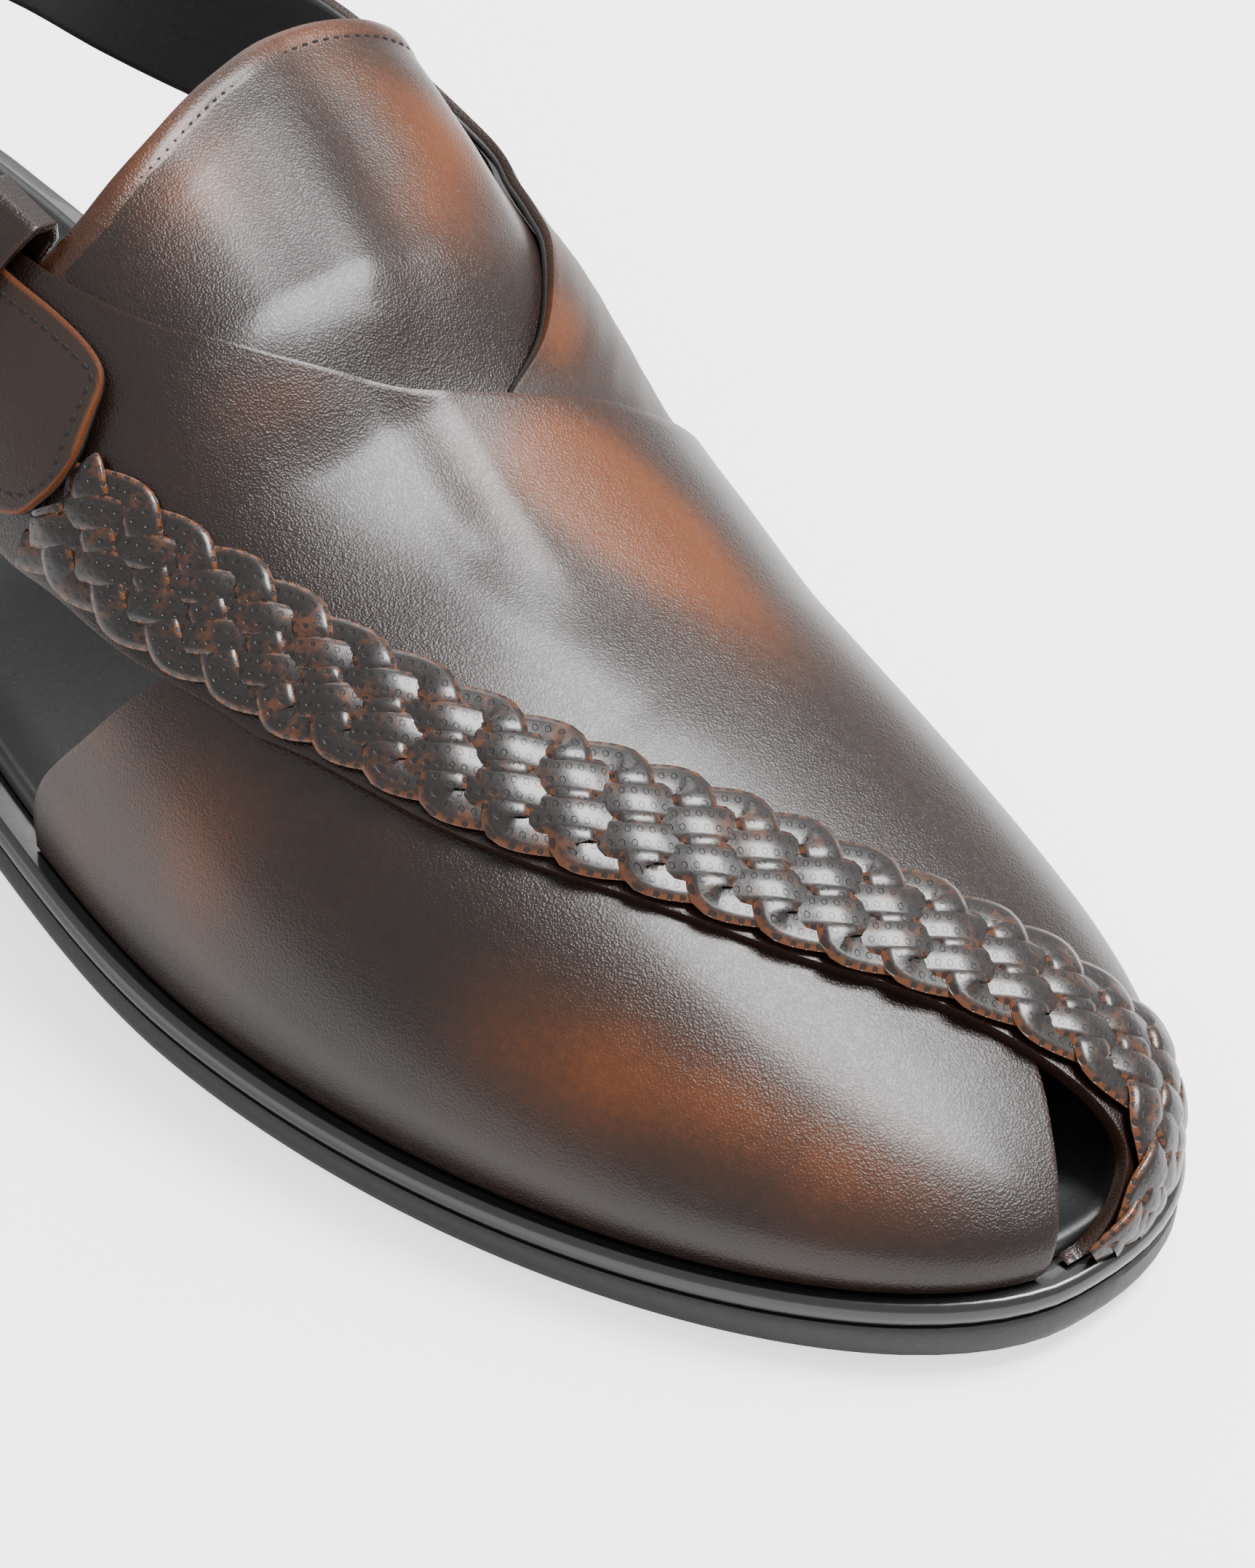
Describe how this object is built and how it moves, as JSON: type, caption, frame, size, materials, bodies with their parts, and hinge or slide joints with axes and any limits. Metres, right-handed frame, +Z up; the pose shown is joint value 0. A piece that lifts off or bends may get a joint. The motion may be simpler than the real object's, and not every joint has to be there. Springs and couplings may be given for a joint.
{
  "type": "peshawari sandal",
  "caption": "Right peshawari sandal: crossing leather bands, plaited edge strip, padded tongue and heel strap on a low black sole.",
  "frame": {"origin": "middle of the heel block's underside, on the ground", "axes": "+Z up, +Y from the heel to the toe, +X to the outer side of the right foot"},
  "size_m": [0.1125, 0.2951, 0.0958],
  "materials": {
    "outsole_black": "matte black rubber",
    "welt_black": "glossy rounded black edge",
    "insole_grey": "dark grey lining leather",
    "upper_leather": "burnished dark brown, soft gloss",
    "tongue_leather": "burnished brown, soft gloss",
    "braid_leather": "glossy dark brown plait, orange raw edges",
    "keeper_leather": "dark brown, soft gloss"
  },
  "bodies": {
    "root": {"outsole": "outsole_black", "welt": "welt_black", "insole": "insole_grey", "heel": "outsole_black", "upper": "upper_leather", "tongue": "tongue_leather", "braid": "braid_leather", "keeper": "keeper_leather"}
  },
  "joints": []
}
